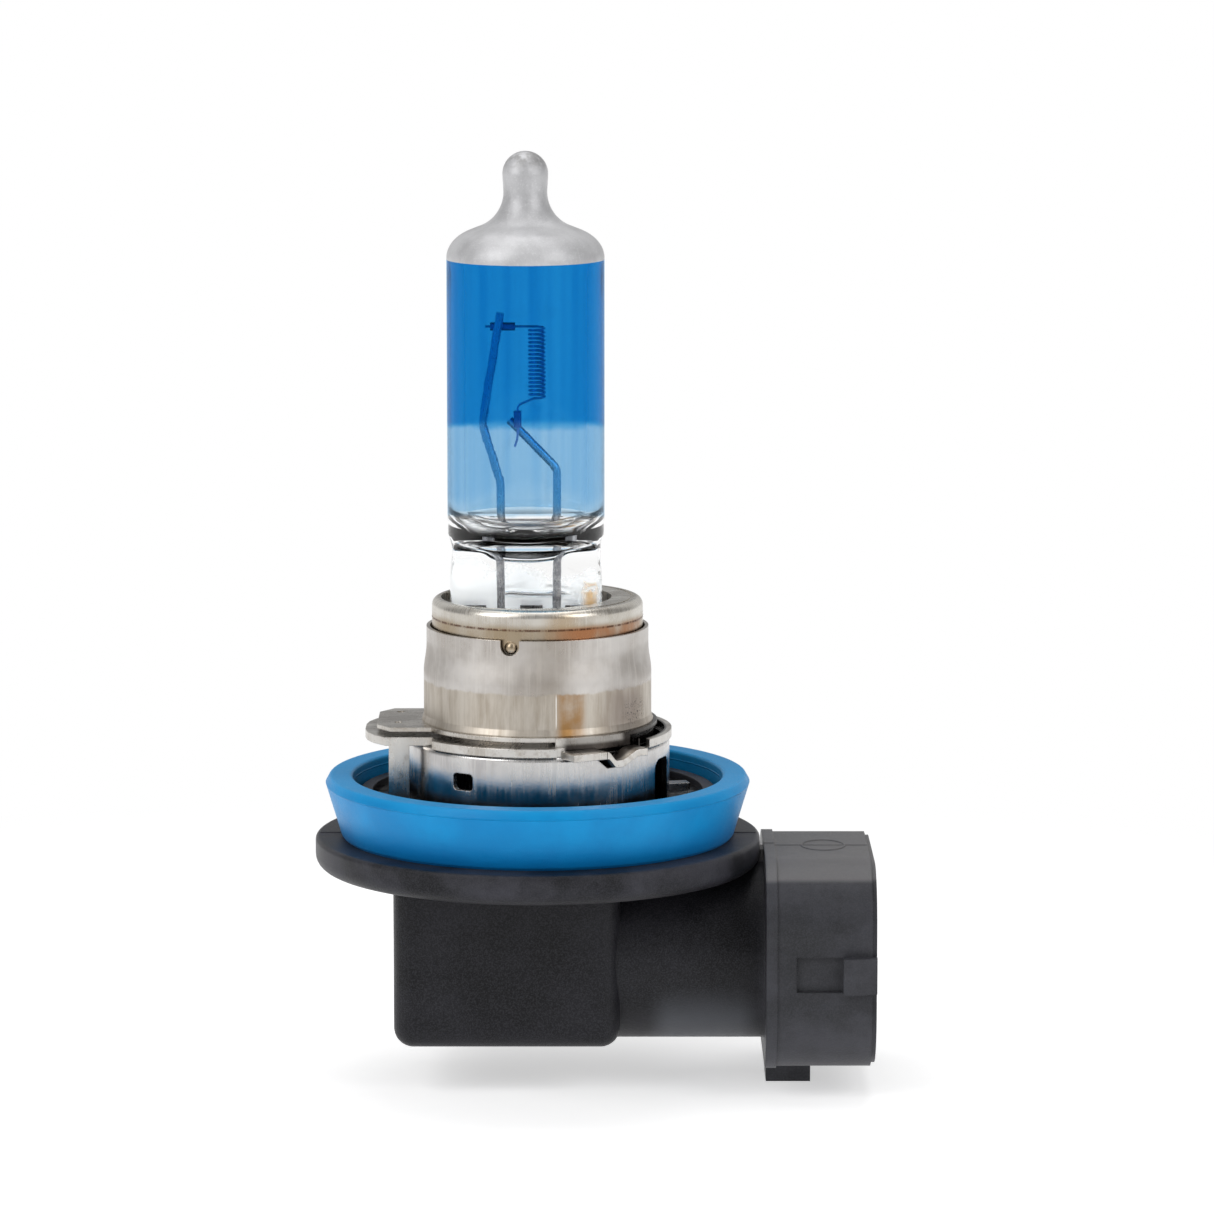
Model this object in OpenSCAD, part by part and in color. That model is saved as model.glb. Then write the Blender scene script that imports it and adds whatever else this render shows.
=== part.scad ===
// Halogen headlight bulb with a 19 mm bayonet cap and a right-angle, two-pole connector.
// The origin is on the cap's axis, at the underside of the plate that carries the lugs.
// +Z points to the glass tip and +X to the connector's mouth.

/* [Glass] */
// Outer diameter of the glass tube
tube_d = 11.1; // [10.6:0.1:11.4]
// Thickness of the glass wall
glass_wall = 1.0; // [0.8:0.1:1.2]
// Sideways offset of the tube's axis from the cap's axis
tube_shift = -0.8; // [-0.8:0.1:0]
// Height of the tip
tip_z = 41.75; // [41:0.25:43]
// Height where the straight tube meets its shoulder
shoulder_z = 34.25; // [33.5:0.25:34.5]
// Height where the pinch starts to flatten the tube
pinch_top_z = 16; // [15.5:0.25:16.5]
// Thickness of the pinch
pinch_t = 3.8; // [3.4:0.1:4]
// Lower edge of the blue filter coating
coating_low_z = 15.6; // [15.6:0.1:18]

/* [Filament] */
// Height of the coil's centre above the lug plate
light_centre_z = 26.85; // [26.5:0.05:27]
// Length of the coil
coil_h = 5; // [4.5:0.1:5]
// Outer diameter of the coil
coil_d = 1.3; // [1.2:0.05:1.4]
// Diameter of the tungsten wire
coil_wire_d = 0.16; // [0.12:0.01:0.18]
// Diameter of the lead wires
lead_d = 0.6; // [0.5:0.05:0.6]

/* [Metal rings] */
// Diameter of the round cap that fits the lamp holder
cap_d = 18.9; // [18.8:0.1:19]
// Diameter of the adjusting sleeve at its foot
sleeve_d = 16.28; // [16.2:0.02:16.4]
// Height of the adjusting sleeve's rim
sleeve_top_z = 8; // [7.5:0.25:8.25]
// Height of the inner collar's rolled rim
collar_top_z = 10.05; // [9.8:0.05:10.5]
// Thickness of the stamped sheet
sheet = 0.4; // [0.35:0.05:0.45]
// How far the detent in the front lug dips
detent_dip = 0.66; // [0.5:0.02:0.7]

/* [Seal] */
// Diameter of the seal's lip
seal_lip_d = 30.4; // [30:0.1:31]
// Height of the seal's top face
seal_top_z = -2.75; // [-3:0.05:-2.5]

/* [Base] */
// Diameter of the base's flange
flange_d = 31.9; // [31:0.1:32]
// Height of the flange's upper face
flange_z = -7.15; // [-7.3:0.05:-7]
// Thickness of the flange
flange_t = 2.2; // [2:0.1:2.4]
// Height of the base's flat bottom
base_bottom_z = -21.55; // [-22:0.05:-21]

/* [Connector] */
// Height of the connector's axis
plug_z = -15.55; // [-15.6:0.05:-15.5]
// Distance from the cap's axis to the connector's mouth
plug_x = 24; // [23.5:0.1:24.5]
// Width of the connector shell
plug_w = 19.2; // [19:0.1:19.4]
// Height of the connector shell
plug_h = 15.25; // [15:0.05:15.5]
// Diameter of the round neck behind the connector
neck_d = 12.9; // [12.5:0.1:13]
// Distance from the connector's axis to the middle of each blade
blade_y = 2.9; // [2.8:0.1:3]

/* [Hidden] */
$fn = 96;
eps = 0.01;

// Glass
tube_r = tube_d / 2;
bore_r = tube_r - glass_wall;
shoulder_r = 2.4;      // the shoulder bends about this radius
shoulder_h = 2.2;
nipple_r = 1.57;
nipple_z = tip_z - nipple_r;
neck_r = 1.5;
neck_z = nipple_z - 1.25;
fillet_r = 2.65;       // sweep from the shoulder up to the tip
pinch_flat_z = 12.9;   // the pinch is flat below this height
pinch_low_z = 3;
bowl_depth = 2.4;      // rounded lower end of the gas space
coat_t = 0.05;
coat_join_z = 34.15;   // the blue coating ends and the grey tip coating starts

// Filament and leads
coil_r = (coil_d - coil_wire_d) / 2;
coil_turns = 17.5;
coil_steps = 16;       // rings of the swept wire in each turn
coil_low_z = light_centre_z - coil_h / 2;
coil_high_z = light_centre_z + coil_h / 2;
tail_x = -1.38;        // the lower tail turns down here
long_lead_x = -2.6;    // both leads stand upright in the pinch
short_lead_x = 1.4;
long_lead = [[-2.6, -0.1, 30.35], [-3.9, -0.1, 22.45], [long_lead_x, 0, 18.25], [long_lead_x, 0, -1.5],
             [long_lead_x, 2.3, -7], [long_lead_x, 2.3, -11]];
short_lead = [[-1.97, 0.1, 22.75], [short_lead_x, 0, 19.3], [short_lead_x, 0, -1.5],
              [short_lead_x, -2.3, -7], [short_lead_x, -2.3, -11]];

// Metal rings, each standing on the one below
cap_r = cap_d / 2;
plate_t = 0.6;         // thickness of the plate with the lugs
guide_z = 1.22;        // the ring above it stands clear, on its own neck
guide_t = 0.3;
guide_neck_r = 7.15;
plate_r = 9.6;
plate_bore_r = 7.2;
plate_flat_x = -7.4;   // the round part of the plate is cut off here, behind the side lug
guide_r = 8.55;
guide_bore_r = 6.95;
side_dimple_x = -9.9;
lug_half_w = 4.6;
leg_x = -10.5;         // two legs under the side lug run down into the compound
leg_w = 1.45;
leg_t = 0.5;
leg_low_z = -5.4;
lug_t = 0.5;
lug_z = -0.12;         // underside of the two side lugs
lug_root_x = 8.8;
lug_start = -2.75;     // the front lug starts here, across its own axis
front_lug_a = -60;
rear_lug_a = 60;
side_lug_x = 12.3;
lug_x = 10.65;         // flat outer edge of the two thinner lugs
detent_root = -0.35;
detent_end = 2.9;
detent_in_x = 8.85;
slot_a = [-34.5, 33];  // curved slot that frees the outer rim of the plate
slot_r = [8.3, 9.1];
step_a = [-81, -41];   // the guide ring's skirt
step_r = [8.35, 8.75];
sleeve_r = sleeve_d / 2;
sleeve_neck_r = sleeve_r - 0.21;
sleeve_t = 0.25;
collar_r = sleeve_neck_r - sleeve_t - 0.15;
collar_low_z = 2.6;
notch_a = -103.6;      // keyed notch in the sleeve's rim
notch_w = 1.36;
opening_r = 6.1;       // the collar's opening is centred on the glass
clip_z = 8.5;
clip_t = 0.3;

// Base
shelf_z = -6.6;        // floor of the cup that the mounting ring stands in
cup_r = 11.85;
boss_r = 12.9;
boss_top_z = -3.9;
anchor_a = [14, 134, 254];  // three feet of the mounting ring, held by the compound
anchor_w = 1.1;
anchor_in_r = cap_r - 0.2;
anchor_reach = 1.9;
anchor_h = 2.7;
compound_z = -4.4;
flange_low_z = flange_z - flange_t;
column_x = [-10.2, 5.9];
column_w = 14;
column_r = 1.4;
wall = 1.5;
neck_r_out = neck_d / 2;
shell_x = 16.2;
shell_r = 4.7;
shell_wall = 1.4;
collar_plate_x = 17;   // the connector's back plate ends here
socket_floor_x = 17.7;
blade_w = 2.8;
blade_t = 0.8;
blade_tip_x = 22.6;
blade_bend_r = 1.2;

// Points of an oval arc about [x, y], from angle a to angle b
function oval(x, y, rx, ry, a, b, steps = 16) =
    [for (i = [0:steps]) let(t = a + (b - a) * i / steps) [x + rx * cos(t), y + ry * sin(t)]];
function arc(x, y, r, a, b, steps = 16) = oval(x, y, r, r, a, b, steps);
function reversed(points) = [for (i = [len(points) - 1:-1:0]) points[i]];
// Rises smoothly from 0 at a to 1 at b
function ease(v, a, b) = let(t = min(1, max(0, (v - a) / (b - a)))) t * t * (3 - 2 * t);

// Draws a 2D shape of Y and Z and extends it along X from a to b
module along_x(a, b) {
    translate([a, 0, 0]) rotate([90, 0, 90]) linear_extrude(b - a) children();
}

// Draws a 2D shape of X and Z and extends it along Y by a width, centred on y
module along_y(width, y = 0) {
    translate([0, y, 0]) rotate([90, 0, 0]) linear_extrude(width, center = true) children();
}

module rounded_rect(w, h, r) {
    square([w, h - 2 * r], center = true);
    square([w - 2 * r, h], center = true);
    for (x = [-1, 1], y = [-1, 1])
        translate([x * (w / 2 - r), y * (h / 2 - r)]) circle(r);
}

function unit(v) = v / norm(v);

// Turns each corner of a route into a bend that starts and ends r before and after it
function bent(points, r) = concat([points[0]],
    [for (i = [1:len(points) - 2], k = [0:4])
        let(p = points[i], t = k / 4,
            a = p + r * unit(points[i - 1] - p), b = p + r * unit(points[i + 1] - p))
        (1 - t) * (1 - t) * a + 2 * t * (1 - t) * p + t * t * b],
    [points[len(points) - 1]]);

// Round wire swept along a route that never runs parallel to up
module swept(points, d, sides, up) {
    last = len(points) - 1;
    corners = [for (i = [0:last], j = [0:sides - 1])
        let(along = unit(points[min(i + 1, last)] - points[max(i - 1, 0)]),
            n = unit(up - (up * along) * along), a = 360 * j / sides)
        points[i] + d / 2 * (cos(a) * n + sin(a) * cross(along, n))];
    walls = [for (i = [0:last - 1], j = [0:sides - 1])
        let(k = (j + 1) % sides, p = i * sides, q = p + sides) [p + j, q + j, q + k, p + k]];
    ends = [[for (j = [0:sides - 1]) j], [for (j = [sides - 1:-1:0]) last * sides + j]];
    polyhedron(corners, concat(walls, ends), convexity = 20);
}

// Outline of the glass from the shoulder to the tip, moved outwards by t
function top_outline(t) = concat(
    oval(shoulder_r, shoulder_z, tube_r - shoulder_r + t, shoulder_h + t, 0, 62, 12),
    arc(neck_r + fillet_r, neck_z, fillet_r - t, 249, 180, 12),
    arc(0, nipple_z, nipple_r + t, -8, 90, 12));

// Half thickness of the pressed glass at a height
function press(z) = pinch_t / 2 + (tube_r - pinch_t / 2) * ease(z, pinch_flat_z, pinch_top_z);

// Side view of the pressed glass, thinned by t on each side
module press_outline(low, t) {
    steps = 12;
    heights = [for (i = [0:steps]) pinch_flat_z + (pinch_top_z - pinch_flat_z) * i / steps];
    side = concat([[press(low) - t, low]], [for (z = heights) if (z > low) [press(z) - t, z]]);
    polygon(concat(side, [for (p = reversed(side)) [-p[0], p[1]]]));
}

module pinch() {
    edge = [[5.4, pinch_low_z], [5.4, 11.2], [5.2, 12.9], [5.2, 14.3], [tube_r, 15.5], [tube_r, pinch_top_z]];
    intersection() {
        translate([0, 0, pinch_low_z]) cylinder(h = pinch_top_z - pinch_low_z, r = tube_r);
        along_x(-tube_r - 1, tube_r + 1) press_outline(pinch_low_z, 0);
        along_y(2 * tube_r + 2)
            polygon(concat(edge, [for (p = reversed(edge)) [-p[0], p[1]]]));
    }
}

// Gas space: the tube's bore, its rounded lower end and the sealed exhaust hole in the tip
module gas_space() {
    inner_shoulder = oval(shoulder_r, shoulder_z, bore_r - shoulder_r, shoulder_h - glass_wall, 0, 80, 8);
    rotate_extrude()
        polygon(concat([[0, pinch_top_z], [bore_r, pinch_top_z]], inner_shoulder,
                       [[0.6, shoulder_z + 1.6], [0.4, nipple_z - 0.6], [0, nipple_z - 0.2]]));
    intersection() {
        rotate_extrude()
            polygon(concat([[0, pinch_top_z + eps], [bore_r, pinch_top_z + eps]],
                           oval(0, pinch_top_z, bore_r, bowl_depth, 0, -90, 12)));
        along_x(-tube_r, tube_r) press_outline(pinch_flat_z, glass_wall);
    }
}

module glass_envelope() {
    color("lightcyan", 0.5)
        difference() {
            translate([tube_shift, 0, 0])
                difference() {
                    union() {
                        rotate_extrude()
                            polygon(concat([[0, pinch_top_z - eps], [tube_r, pinch_top_z - eps]],
                                           top_outline(0)));
                        pinch();
                    }
                    gas_space();
                }
            for (x = [long_lead_x, short_lead_x])
                translate([x, 0, pinch_low_z - 1]) cylinder(h = pinch_top_z - pinch_low_z, d = lead_d);
        }
}

module blue_coating() {
    color("dodgerblue", 0.6)
        translate([tube_shift, 0, coating_low_z])
            difference() {
                cylinder(h = coat_join_z - coating_low_z, r = tube_r + coat_t);
                translate([0, 0, -1]) cylinder(h = coat_join_z - coating_low_z + 2, r = tube_r);
            }
}

module tip_coating() {
    outer = concat([[tube_r + coat_t, coat_join_z]], top_outline(coat_t));
    inner = concat([[tube_r, coat_join_z]], top_outline(0));
    color("silver")
        translate([tube_shift, 0, 0])
            rotate_extrude() polygon(concat(outer, reversed(inner)));
}

// One wire: the lower tail up to the coil, the coil, and the upper tail
module filament() {
    count = coil_turns * coil_steps;
    helix = [for (i = [0:count])
        let(a = -90 + 360 * i / coil_steps)
        [coil_r * cos(a), coil_r * sin(a), coil_low_z + coil_h * i / count]];
    lower_tail = bent([[tail_x - 0.2, -coil_r, 20.9], [tail_x, -coil_r, 21.6],
                       [tail_x, -coil_r, coil_low_z - 0.5], [-0.2, -coil_r, coil_low_z]], 0.3);
    color("dimgray")
        swept(concat(lower_tail, helix, [[-3.7, coil_r, coil_high_z]]), coil_wire_d, 6, [-0.3, 0, 1]);
}

module upper_filament_clamp() {
    color("gray")
        along_x(-3.35, -1.6)
            translate([coil_r, coil_high_z])
                difference() {
                    rounded_rect(0.74, 0.56, 0.2);
                    circle(d = coil_wire_d + 0.02);
                }
}

module lower_filament_clamp() {
    color("gray")
        translate([tail_x, -coil_r, 22.3])
            linear_extrude(1.15)
                difference() {
                    rounded_rect(0.54, 0.72, 0.2);
                    circle(d = coil_wire_d + 0.02);
                }
}

module long_lead_wire() {
    color("gray") swept(bent(long_lead, 0.7), lead_d, 16, [0, 1, 0]);
}

module short_lead_wire() {
    color("gray") swept(bent(short_lead, 0.7), lead_d, 16, [0, 1, 0]);
}

// Disc that fills the collar, with a slot for the pinch, six fingers that grip it and two stops
module pinch_clip() {
    finger_w = 1.6;
    finger_top = 9.7;
    stop_x = [-4.4, 2.8];
    fingers = [[stop_x[0], pinch_low_z - clip_t], [-0.4, 5], [stop_x[1], pinch_low_z - clip_t]];
    color("darkgray") {
        difference() {
            translate([0, 0, clip_z]) cylinder(h = clip_t, r = collar_r - sheet);
            translate([tube_shift - 5.55, -pinch_t / 2, clip_z - 1]) cube([11.1, pinch_t, 2]);
        }
        for (finger = fingers, side = [-1, 1])
            translate([finger[0] - finger_w / 2, side * (pinch_t + clip_t) / 2 - clip_t / 2, finger[1]])
                cube([finger_w, clip_t, finger_top - finger[1]]);
        for (x = stop_x)
            translate([x - finger_w / 2, -pinch_t / 2, pinch_low_z - clip_t])
                cube([finger_w, pinch_t, clip_t]);
    }
}

// Drawn collar: its flat top has an off-centre opening with a turned-down lip and a coined groove.
// The round key on its side sits in the sleeve's notch.
module inner_collar() {
    edge_r = 0.55;
    lip_h = 0.9;
    groove_r = 6.75;
    top = collar_top_z;
    color("lightgray") {
        difference() {
            rotate_extrude()
                polygon(concat([[collar_r, collar_low_z]],
                               arc(collar_r - edge_r, top - edge_r, edge_r, 0, 90),
                               [[4.8, top], [4.8, top - sheet]],
                               arc(collar_r - edge_r, top - edge_r, edge_r - sheet, 90, 0),
                               [[collar_r - sheet, collar_low_z]]));
            translate([tube_shift, 0, top - 1]) cylinder(h = 2, r = opening_r);
            translate([0, 0, top - 0.1])
                difference() {
                    cylinder(h = 1, r = groove_r + 0.12);
                    translate([0, 0, -1]) cylinder(h = 3, r = groove_r - 0.12);
                }
        }
        translate([tube_shift, 0, 0])
            rotate_extrude()
                translate([opening_r, top - lip_h]) square([0.3, lip_h - 0.12]);
        rotate([0, 0, notch_a]) translate([collar_r - 0.2, 0, sleeve_top_z - 0.55]) sphere(r = 0.5, $fn = 32);
    }
}

module adjusting_sleeve() {
    widen_z = [4.7, 6.7];
    foot_h = 0.5;
    steps = 12;
    foot_r = sleeve_r + 0.13;
    outer = concat([[foot_r, guide_z], [foot_r, guide_z + 0.08], [sleeve_r, guide_z + foot_h]],
                   [for (i = [0:steps]) let(z = widen_z[0] + (widen_z[1] - widen_z[0]) * i / steps)
                       [sleeve_r - (sleeve_r - sleeve_neck_r) * ease(z, widen_z[0], widen_z[1]), z]],
                   [[sleeve_neck_r, sleeve_top_z]]);
    color("lightgray")
        difference() {
            rotate_extrude() polygon(concat(outer, [for (p = reversed(outer)) [p[0] - sleeve_t, p[1]]]));
            rotate([0, 0, notch_a])
                along_x(sleeve_neck_r - 1, sleeve_r + 1) {
                    translate([0, sleeve_top_z - 0.4]) circle(d = notch_w);
                    translate([-notch_w / 2, sleeve_top_z - 0.4]) square([notch_w, 1]);
                }
        }
}

// Thin guide ring under the sleeve, with its own side lug, a neck and a skirt in front
module lug_ring() {
    half_w = 4.1;
    color("silver") {
        difference() {
            translate([0, 0, guide_z - guide_t])
                linear_extrude(guide_t)
                    difference() {
                        union() {
                            circle(guide_r);
                            polygon([[-5, -half_w], [-10.4, -half_w], [-11.4, 1.5 - half_w],
                                     [-11.4, half_w - 1.5], [-10.4, half_w], [-5, half_w]]);
                        }
                        circle(guide_bore_r);
                    }
            for (y = [-1.8, 2.6])
                translate([side_dimple_x, y, guide_z - 0.1]) cylinder(h = 1, r = 0.28, $fn = 32);
        }
        rotate_extrude()
            translate([guide_bore_r, 0]) square([guide_neck_r - guide_bore_r, guide_z - guide_t]);
        rotate([0, 0, step_a[0]])
            rotate_extrude(angle = step_a[1] - step_a[0])
                translate([step_r[0], 0.3]) square([step_r[1] - step_r[0], guide_z - 0.3]);
    }
}

// Plate with the three lugs and two legs that anchor its side lug in the base
module spring_ring() {
    x = side_lug_x;
    side_lug = [[-5, -lug_half_w], [1.55 - x, -lug_half_w], [0.65 - x, -3.4], [0.18 - x, -2.2], [-x, -1]];
    color("silver") {
        difference() {
            linear_extrude(plate_t)
                difference() {
                    union() {
                        intersection() {
                            circle(plate_r);
                            translate([plate_flat_x, -plate_r]) square([2 * plate_r, 2 * plate_r]);
                        }
                        polygon(concat(side_lug, [for (p = reversed(side_lug)) [p[0], -p[1]]]));
                    }
                    circle(plate_bore_r);
                }
            translate([0, 0, -1])
                rotate([0, 0, step_a[0]])
                    rotate_extrude(angle = slot_a[0] - step_a[0]) square([8.8, 3]);
            translate([0, 0, -1])
                rotate([0, 0, step_a[0]])
                    rotate_extrude(angle = 5) translate([9.25, 0]) square([1, 3]);
            translate([0, 0, -1]) curved_slot(3);
            translate([0, 0, -1])
                rotate([0, 0, front_lug_a])
                    translate([8, lug_start, 0]) cube([4, 7, 3]);
        }
        for (a = [front_lug_a, rear_lug_a])
            rotate([0, 0, a])
                translate([lug_root_x, lug_start - 0.3, lug_z])
                    cube([lug_x - lug_root_x, a == front_lug_a ? detent_root + 0.25 - lug_start : 5.8,
                          lug_t]);
        for (side = [-1, 1])
            translate([leg_x, side * (lug_half_w - leg_t / 2) - leg_t / 2, leg_low_z])
                cube([leg_w, leg_t, eps - leg_low_z]);
    }
}

// Stretch of a ring that stays clear of the outer rim by a margin
module curved_slot(height, margin = 0) {
    rotate([0, 0, slot_a[0]])
        rotate_extrude(angle = slot_a[1] - slot_a[0])
            translate([slot_r[0], 0]) square([slot_r[1] - slot_r[0] - margin, height]);
}

// Underside of the leaf at a place along it
function leaf_low(y) = lug_z - detent_dip * (ease(y, -0.3, 0.45) - ease(y, 0.75, 2.3));

// Leaf at the end of the front lug, pressed down into a rounded detent
module detent_spring() {
    steps = 36;
    low = [for (i = [0:steps])
        let(y = detent_root + (detent_end - detent_root) * i / steps) [y, leaf_low(y)]];
    color("silver")
        rotate([0, 0, front_lug_a])
            along_x(detent_in_x, lug_x)
                polygon(concat(low, [for (p = reversed(low)) [p[0], p[1] + lug_t]]));
}

// Drawn cap: a round wall with a flat top, a window, two slots, a relief under the front lug and three feet
module mounting_ring() {
    cap_sheet = 0.45;
    edge_r = 0.35;
    relief_in_x = 8.6;
    relief_z = lug_z - 0.22;
    relief_dip_z = relief_z - detent_dip;
    relief_y = [lug_start - 0.4, detent_end + 0.15];
    color("lightgray") {
        difference() {
            rotate_extrude()
                polygon(concat([[cap_r, shelf_z]],
                               arc(cap_r - edge_r, -edge_r, edge_r, 0, 90, 6),
                               [[6.9, 0], [6.9, -cap_sheet], [cap_r - cap_sheet, -cap_sheet],
                                [cap_r - cap_sheet, shelf_z]]));
            rotate([0, 0, -123.2])
                along_x(7, 11) translate([0, -2]) rounded_rect(1.65, 1.2, 0.3);
            rotate([0, 0, -19.5])
                along_x(7, 11) translate([0, -3.4]) rounded_rect(2.7, 4.6, 0.8);
            translate([0, 0, -1]) curved_slot(2, 0.2);
            rotate([0, 0, rear_lug_a])
                translate([relief_in_x, relief_y[0], lug_z - 0.05]) cube([2, 6, 1]);
            rotate([0, 0, front_lug_a])
                along_x(relief_in_x, 11)
                    polygon([[relief_y[0], 1], [relief_y[0], relief_z], [-0.45, relief_z],
                             [0.3, relief_dip_z], [0.95, relief_dip_z], [2.2, relief_z],
                             [relief_y[1], relief_z], [relief_y[1], 1]]);
        }
        for (a = anchor_a)
            rotate([0, 0, a])
                translate([anchor_in_r, -anchor_w / 2, shelf_z]) cube([anchor_reach, anchor_w, anchor_h]);
    }
}

module sealing_compound() {
    color("black")
        difference() {
            translate([0, 0, shelf_z]) cylinder(h = compound_z - shelf_z, r = cup_r);
            translate([0, 0, shelf_z - 1]) cylinder(h = 5, r = cap_r);
            for (a = anchor_a)
                rotate([0, 0, a])
                    translate([anchor_in_r, -anchor_w / 2, shelf_z - 1]) cube([anchor_reach, anchor_w, 5]);
            for (side = [-1, 1])
                translate([leg_x, side * (lug_half_w - leg_t / 2) - leg_t / 2, leg_low_z])
                    cube([leg_w, leg_t, 5]);
        }
}

module seal_ring() {
    lip_r = seal_lip_d / 2;
    color("deepskyblue")
        rotate_extrude()
            polygon(concat([[boss_r + 0.05, flange_z], [boss_r + 1.05, flange_z]],
                           [[lip_r - 1.1, flange_z + 0.2], [lip_r, seal_top_z - 0.55]],
                           arc(lip_r - 0.45, seal_top_z - 0.25, 0.25, 40, 90, 4),
                           arc(boss_r + 0.6, seal_top_z - 0.25, 0.25, 90, 180, 4)));
}

// Round flange with the cup that holds the metal cap
module flange() {
    edge_r = 0.9;
    rim_r = 0.3;
    flange_r = flange_d / 2;
    rotate_extrude()
        polygon(concat([[0, flange_low_z]],
                       arc(flange_r - edge_r, flange_low_z + edge_r, edge_r, -90, 0, 8),
                       arc(flange_r - rim_r, flange_z - rim_r, rim_r, 0, 90, 4),
                       [[boss_r, flange_z], [boss_r, boss_top_z - 0.2], [boss_r - 0.2, boss_top_z],
                        [0, boss_top_z]]));
}

// Box-shaped column with rounded edges
module column() {
    hull() {
        for (x = [column_x[0] + column_r, column_x[1] - column_r], y = [-1, 1])
            translate([x, y * (column_w / 2 - column_r), base_bottom_z + column_r]) {
                sphere(column_r, $fn = 32);
                cylinder(h = flange_low_z - base_bottom_z - column_r + 0.5, r = column_r, $fn = 32);
            }
    }
}

// One layer of the connector's outline, inset by t
module shell_slice(a, b, t) {
    along_x(a, b) translate([0, plug_z]) rounded_rect(plug_w - 2 * t, plug_h - 2 * t, shell_r - t);
}

// Latch ramp on each side of the connector, with the shallow pocket in front of it
module latch_ramp() {
    ramp_x = 21.6;
    ramp_y = plug_w / 2;
    translate([0, 0, plug_z - 1.3])
        linear_extrude(2.6)
            polygon([[ramp_x, ramp_y - 0.5], [ramp_x, ramp_y + 0.75], [ramp_x + 0.6, ramp_y + 0.75],
                     [plug_x, ramp_y + 0.25], [plug_x, ramp_y - 0.5]]);
}

module base_housing() {
    step = 0.15;
    color("dimgray")
        difference() {
            union() {
                flange();
                column();
                along_x(0, collar_plate_x) translate([0, plug_z]) circle(neck_r_out);
                shell_slice(shell_x, collar_plate_x, 0);
                shell_slice(collar_plate_x, plug_x - 0.3, step);
                shell_slice(plug_x - 0.3, plug_x, step + 0.25);
                along_y(1.8) translate([10, plug_z]) square([shell_x - 9.5, 7.35]);
                along_y(3.6) translate([16.4, plug_z - plug_h / 2 - 1.85]) square([3.2, 3]);
                for (side = [0, 1]) mirror([0, side, 0]) latch_ramp();
            }
            translate([0, 0, shelf_z]) cylinder(h = 5, r = cup_r);
            translate([(column_x[0] + column_x[1]) / 2, 0, base_bottom_z + wall])
                linear_extrude(shelf_z - base_bottom_z - wall + 1)
                    rounded_rect(column_x[1] - column_x[0] - 2 * wall, column_w - 2 * wall, 1);
            along_x(socket_floor_x, plug_x + 1)
                translate([0, plug_z])
                    rounded_rect(plug_w - 2 * shell_wall, plug_h - 2 * shell_wall, shell_r - 1.1);
            for (side = [-1, 1]) {
                along_x(column_x[1] - wall - 1, socket_floor_x + 1)
                    translate([side * blade_y, plug_z]) square([blade_w, blade_t], center = true);
                translate([18.35, side * plug_w / 2 - 0.5, plug_z - 1.25]) cube([3.25, 1, 2.5]);
            }
        }
}

// Stamped strip: upright beside its lead wire, bent, and running out to a blade in the socket
module terminal(upright_x, side) {
    t = blade_t / 2;
    x = upright_x;
    bend_x = x - t + blade_bend_r + blade_t;
    bend_z = plug_z - t + blade_bend_r + blade_t;
    along_y(blade_w, side * blade_y)
        polygon(concat(arc(bend_x, bend_z, blade_bend_r + blade_t, 180, 270, 8),
                       [[blade_tip_x - 0.8, plug_z - t], [blade_tip_x, plug_z - 0.15],
                        [blade_tip_x, plug_z + 0.15], [blade_tip_x - 0.8, plug_z + t]],
                       arc(bend_x, bend_z, blade_bend_r, 270, 180, 8),
                       [[x + t, -7.4], [x - t, -7.4]]));
}

module positive_terminal() {
    color("goldenrod") terminal(-1.88, 1);
}

module negative_terminal() {
    color("goldenrod") terminal(2.12, -1);
}

glass_envelope();
blue_coating();
tip_coating();
filament();
upper_filament_clamp();
lower_filament_clamp();
long_lead_wire();
short_lead_wire();
pinch_clip();
inner_collar();
adjusting_sleeve();
lug_ring();
spring_ring();
detent_spring();
mounting_ring();
sealing_compound();
seal_ring();
base_housing();
positive_terminal();
negative_terminal();
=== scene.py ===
"""Looks for a halogen headlight bulb: camera, studio, materials and the finely modelled glass parts."""
import math
import random

import bpy
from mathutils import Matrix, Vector, noise as vnoise

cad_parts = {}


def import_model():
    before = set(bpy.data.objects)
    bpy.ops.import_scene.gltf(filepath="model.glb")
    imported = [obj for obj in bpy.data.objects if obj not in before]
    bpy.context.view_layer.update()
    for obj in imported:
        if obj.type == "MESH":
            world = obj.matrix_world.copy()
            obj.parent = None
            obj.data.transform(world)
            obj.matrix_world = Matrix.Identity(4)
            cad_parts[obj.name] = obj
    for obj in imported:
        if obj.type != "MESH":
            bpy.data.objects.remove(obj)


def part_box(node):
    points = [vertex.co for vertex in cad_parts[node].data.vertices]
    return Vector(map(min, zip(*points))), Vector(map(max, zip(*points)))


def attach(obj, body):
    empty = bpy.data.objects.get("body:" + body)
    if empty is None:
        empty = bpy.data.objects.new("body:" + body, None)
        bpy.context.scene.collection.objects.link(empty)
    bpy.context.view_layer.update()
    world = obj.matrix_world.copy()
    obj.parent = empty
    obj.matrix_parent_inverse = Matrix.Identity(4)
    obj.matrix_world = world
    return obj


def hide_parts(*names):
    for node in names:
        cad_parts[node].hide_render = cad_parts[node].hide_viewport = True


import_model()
bpy.context.view_layer.update()

MM = 0.001
TUBE_X = -0.8  # the glass stands this far to one side of the cap's axis, in millimetres
GROOVE_Z = (10.02, 10.32)  # heights of the groove across the rear of the pinch
GROOVE_X = 0.6  # its middle, from the tube's axis
GROOVE_HALF = 2.2
GROOVE_DEPTH = 0.3
GROOVE_EDGE = 0.05  # height of each of its slopes
random.seed(11)

# ---------------------------------------------------------------- camera

TARGET = Vector((4.97, 0, 9.25)) * MM
ELEVATION = math.radians(8.6276)
DISTANCE = 0.3926

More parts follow.
